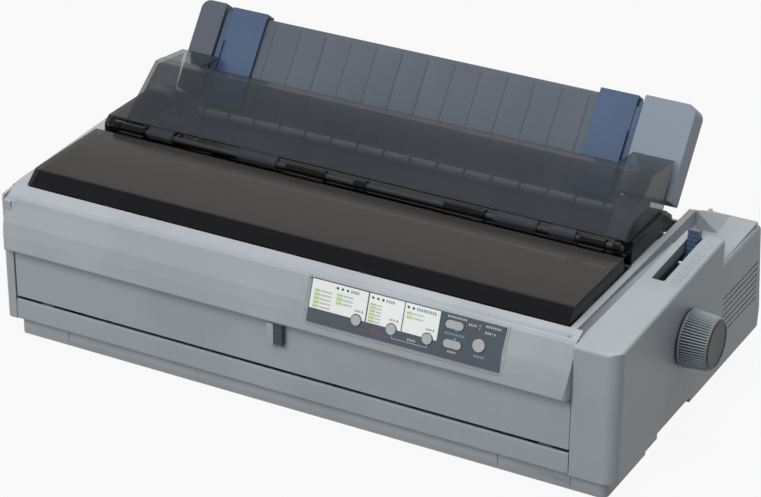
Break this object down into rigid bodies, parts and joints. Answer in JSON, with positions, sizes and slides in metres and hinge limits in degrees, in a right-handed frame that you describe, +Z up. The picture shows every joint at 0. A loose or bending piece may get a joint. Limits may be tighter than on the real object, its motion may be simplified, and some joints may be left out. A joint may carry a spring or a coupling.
{
  "type": "dot matrix printer",
  "caption": "Wide-carriage dot matrix printer with hinged smoke covers, tilting paper guide, platen knob, release lever, folding front tray and key panel.",
  "frame": {"origin": "centre of the bounding box on the resting plane under the feet", "axes": "+X along the case to the knob side, +Y to the rear, +Z up"},
  "size_m": [0.6388, 0.329, 0.243],
  "materials": {
    "case_plastic": "fine textured moulding",
    "guide_plastic": "fine textured moulding",
    "panel_plastic": "satin moulding",
    "label_film": "printed film",
    "lamp_lens": "clear lens",
    "key_plastic": "satin moulding",
    "smoke_cover": "smoke tinted, glossy",
    "clear_cover": "smoke tinted, clear",
    "blue_plastic": "satin moulding",
    "dark_plastic": "satin moulding",
    "knob_plastic": "fluted moulding",
    "gear_plastic": "self-lubricating",
    "rubber": "ground",
    "steel": "plated sheet and bar",
    "brass": "turned",
    "motor_metal": "black",
    "board": "solder mask"
  },
  "bodies": {
    "case": {"lower_case": "case_plastic", "upper_case": "case_plastic", "right_housing": "case_plastic", "connector_plate": "case_plastic", "front_cover": "case_plastic", "feet": "rubber", "control_panel": "panel_plastic", "panel_labels": "label_film", "panel_lights": "lamp_lens", "panel_board": "board", "cover_frame": "smoke_cover", "hinge_rod": "dark_plastic", "side_frame_left": "steel", "side_frame_right": "steel", "carriage_shaft": "steel", "guide_rail": "steel", "timing_belt": "rubber", "carriage_motor": "motor_metal", "feed_motor": "motor_metal", "paper_pan": "steel", "tractor_shafts": "steel", "logic_board": "board", "power_supply": "steel", "power_inlet": "dark_plastic", "data_connectors": "steel", "case_screws": "steel"},
    "door": {"front_door": "smoke_cover"},
    "flap": {"flap": "clear_cover"},
    "guide": {"paper_guide": "guide_plastic"},
    "edge_left": {"edge_guide_left": "blue_plastic"},
    "edge_right": {"edge_guide_right": "blue_plastic"},
    "tray": {"front_tray": "case_plastic"},
    "tray_guide": {"tray_edge_guide": "dark_plastic"},
    "button_1": {"button_1": "key_plastic"},
    "button_2": {"button_2": "key_plastic"},
    "button_3": {"button_3": "key_plastic"},
    "oval_1": {"oval_button_1": "key_plastic"},
    "oval_2": {"oval_button_2": "key_plastic"},
    "round": {"round_button": "key_plastic"},
    "carriage": {"carriage": "dark_plastic", "print_head": "motor_metal", "ribbon_cartridge": "dark_plastic"},
    "drive_pulley": {"drive_pulley": "steel"},
    "idler_pulley": {"idler_pulley": "steel"},
    "platen": {"platen": "rubber", "platen_shaft": "steel", "platen_gear": "gear_plastic", "knob": "knob_plastic"},
    "idler_gear": {"idler_gear": "gear_plastic"},
    "pinion": {"motor_pinion": "brass"},
    "bail": {"bail_arms": "steel", "bail_rollers": "rubber"},
    "tractor_left": {"tractor_left": "dark_plastic"},
    "tractor_right": {"tractor_right": "dark_plastic"},
    "release_lever": {"release_lever": "blue_plastic"},
    "gap_lever": {"gap_lever": "blue_plastic"},
    "power_switch": {"power_switch": "dark_plastic"}
  },
  "joints": [
    {"name": "door_hinge", "type": "hinge", "parent": "case", "child": "door", "pos_m": [0, -0.0175, 0.165], "axis": [-1, 0, 0], "range_deg": [0, 65]},
    {"name": "flap_hinge", "type": "hinge", "parent": "case", "child": "flap", "pos_m": [0, -0.0175, 0.165], "axis": [1, 0, 0], "range_deg": [0, 50]},
    {"name": "guide_tilt", "type": "hinge", "parent": "case", "child": "guide", "pos_m": [0, 0.05972, 0.14062], "axis": [-1, 0, 0], "range_deg": [0, 40]},
    {"name": "edge_left_slide", "type": "slide", "parent": "guide", "child": "edge_left", "axis": [1, 0, 0], "range_m": [0, 0.08]},
    {"name": "edge_right_slide", "type": "slide", "parent": "guide", "child": "edge_right", "axis": [-1, 0, 0], "range_m": [0, 0.12]},
    {"name": "tray_hinge", "type": "hinge", "parent": "case", "child": "tray", "pos_m": [0, -0.1467, 0.0465], "axis": [1, 0, 0], "range_deg": [0, 75]},
    {"name": "tray_guide_slide", "type": "slide", "parent": "tray", "child": "tray_guide", "axis": [1, 0, 0], "range_m": [-0.03, 0.05]},
    {"name": "button_1_press", "type": "slide", "parent": "case", "child": "button_1", "axis": [0, 0.9466, -0.3223], "range_m": [0, 0.0012], "stiffness_N_per_m": 250},
    {"name": "button_2_press", "type": "slide", "parent": "case", "child": "button_2", "axis": [0, 0.9466, -0.3223], "range_m": [0, 0.0012], "stiffness_N_per_m": 250},
    {"name": "button_3_press", "type": "slide", "parent": "case", "child": "button_3", "axis": [0, 0.9466, -0.3223], "range_m": [0, 0.0012], "stiffness_N_per_m": 250},
    {"name": "oval_1_press", "type": "slide", "parent": "case", "child": "oval_1", "axis": [0, 0.9466, -0.3223], "range_m": [0, 0.0012], "stiffness_N_per_m": 250},
    {"name": "oval_2_press", "type": "slide", "parent": "case", "child": "oval_2", "axis": [0, 0.9466, -0.3223], "range_m": [0, 0.0012], "stiffness_N_per_m": 250},
    {"name": "round_press", "type": "slide", "parent": "case", "child": "round", "axis": [0, 0.9466, -0.3223], "range_m": [0, 0.0012], "stiffness_N_per_m": 250},
    {"name": "carriage_slide", "type": "slide", "parent": "case", "child": "carriage", "axis": [1, 0, 0], "range_m": [-0.165, 0.185]},
    {"name": "drive_pulley_spin", "type": "hinge", "parent": "case", "child": "drive_pulley", "pos_m": [-0.288, -0.1045, 0.052], "axis": [0, 1, 0], "continuous": true},
    {"name": "idler_pulley_spin", "type": "hinge", "parent": "case", "child": "idler_pulley", "pos_m": [0.221, -0.1045, 0.052], "axis": [0, 1, 0], "continuous": true},
    {"name": "platen_spin", "type": "hinge", "parent": "case", "child": "platen", "pos_m": [0, -0.0125, 0.0934], "axis": [1, 0, 0], "continuous": true},
    {"name": "idler_gear_spin", "type": "hinge", "parent": "case", "child": "idler_gear", "pos_m": [0, 0.01715, 0.05807], "axis": [1, 0, 0], "continuous": true},
    {"name": "pinion_spin", "type": "hinge", "parent": "case", "child": "pinion", "pos_m": [0, 0.01244, 0.03136], "axis": [1, 0, 0], "continuous": true},
    {"name": "bail_hinge", "type": "hinge", "parent": "case", "child": "bail", "pos_m": [0, -0.0585, 0.103], "axis": [1, 0, 0], "range_deg": [0, 25]},
    {"name": "tractor_left_slide", "type": "slide", "parent": "case", "child": "tractor_left", "axis": [1, 0, 0], "range_m": [0, 0.1]},
    {"name": "tractor_right_slide", "type": "slide", "parent": "case", "child": "tractor_right", "axis": [-1, 0, 0], "range_m": [0, 0.15]},
    {"name": "release_lever_pivot", "type": "hinge", "parent": "case", "child": "release_lever", "pos_m": [0, 0.0395, 0.095], "axis": [1, 0, 0], "range_deg": [0, 46]},
    {"name": "gap_lever_pivot", "type": "hinge", "parent": "case", "child": "gap_lever", "pos_m": [0, -0.0705, 0.062], "axis": [1, 0, 0], "range_deg": [-12, 12]},
    {"name": "power_switch_rock", "type": "hinge", "parent": "case", "child": "power_switch", "pos_m": [0, 0.1555, 0.048], "axis": [1, 0, 0], "range_deg": [0, 10]}
  ],
  "couplings": [
    {"joint": "idler_gear_spin", "follows": "platen_spin", "ratio": -1.3},
    {"joint": "pinion_spin", "follows": "platen_spin", "ratio": 3.7143},
    {"joint": "drive_pulley_spin", "follows": "carriage_slide", "rad_per_m": 112.99},
    {"joint": "idler_pulley_spin", "follows": "carriage_slide", "rad_per_m": 112.99}
  ]
}
